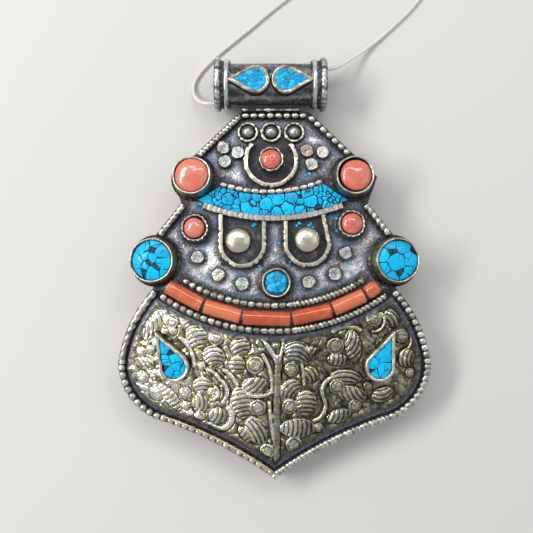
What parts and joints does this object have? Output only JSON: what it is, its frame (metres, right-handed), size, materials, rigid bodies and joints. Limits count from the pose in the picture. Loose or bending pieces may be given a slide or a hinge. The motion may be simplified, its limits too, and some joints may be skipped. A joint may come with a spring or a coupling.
{
  "type": "ghau amulet box pendant",
  "caption": "Shield-shaped domed amulet box pendant in oxidised white metal with an embossed brass panel, coral and turquoise settings, a tube bail and a lift-off front.",
  "frame": {"origin": "on the surface that the pendant lies on, under the middle of its length and width", "axes": "+Z out of the decorated face, +Y along the pendant towards its bail, +X to the right seen from the front"},
  "size_m": [0.0669, 0.1132, 0.0122],
  "materials": {
    "oxidised_silver": "oxidised white metal, dark patina with worn bright edges",
    "worn_silver": "white metal wire and strip, worn bright on top and dark in the grooves",
    "brass": "brass sheet, polished high spots and dark recesses",
    "coral": "polished coral",
    "turquoise": "polished turquoise chips in dark matrix",
    "nylon": "clear nylon thread"
  },
  "bodies": {
    "back_half": {"back_plate": "oxidised_silver", "tray_wall": "oxidised_silver"},
    "front_half": {"bail_collar_left": "worn_silver", "bail_collar_right": "worn_silver", "bail_drop_left_bezel": "worn_silver", "bail_drop_left_stone": "turquoise", "bail_drop_right_bezel": "worn_silver", "bail_drop_right_stone": "turquoise", "bail_saddle": "oxidised_silver", "bail_tube": "oxidised_silver", "brass_dome_left": "brass", "brass_dome_right": "brass", "centre_coral_bezel": "worn_silver", "centre_coral_stone": "coral", "centre_turquoise_bezel": "worn_silver", "centre_turquoise_stone": "turquoise", "channel_wire_lower": "worn_silver", "channel_wire_upper": "worn_silver", "coral_bead_1": "coral", "coral_bead_2": "coral", "coral_bead_3": "coral", "coral_bead_4": "coral", "coral_bead_5": "coral", "coral_bead_6": "coral", "coral_left_bezel": "worn_silver", "coral_left_stone": "coral", "coral_right_bezel": "worn_silver", "coral_right_stone": "coral", "embossed_panel": "brass", "front_plate": "oxidised_silver", "granule_rings": "worn_silver", "horseshoe_strip": "worn_silver", "mosaic_bed": "turquoise", "mosaic_wire_lower": "worn_silver", "mosaic_wire_upper": "worn_silver", "panel_drop_left_bezel": "worn_silver", "panel_drop_left_stone": "turquoise", "panel_drop_right_bezel": "worn_silver", "panel_drop_right_stone": "turquoise", "rim_wire_lower": "worn_silver", "rim_wire_middle": "worn_silver", "rim_wire_upper": "worn_silver", "ring_granules": "worn_silver", "shot_lower": "worn_silver", "shot_upper": "worn_silver", "side_band": "oxidised_silver", "small_coral_left_bezel": "worn_silver", "small_coral_left_stone": "coral", "small_coral_right_bezel": "worn_silver", "small_coral_right_stone": "coral", "thread_knot": "nylon", "thread_left": "nylon", "thread_right": "nylon", "turquoise_left_bezel": "worn_silver", "turquoise_left_stone": "turquoise", "turquoise_right_bezel": "worn_silver", "turquoise_right_stone": "turquoise", "u_strip_left": "worn_silver", "u_strip_right": "worn_silver"}
  },
  "joints": [
    {"name": "front_lift", "type": "slide", "parent": "back_half", "child": "front_half", "axis": [0, 0, 1], "range_m": [0, 0.015]}
  ]
}
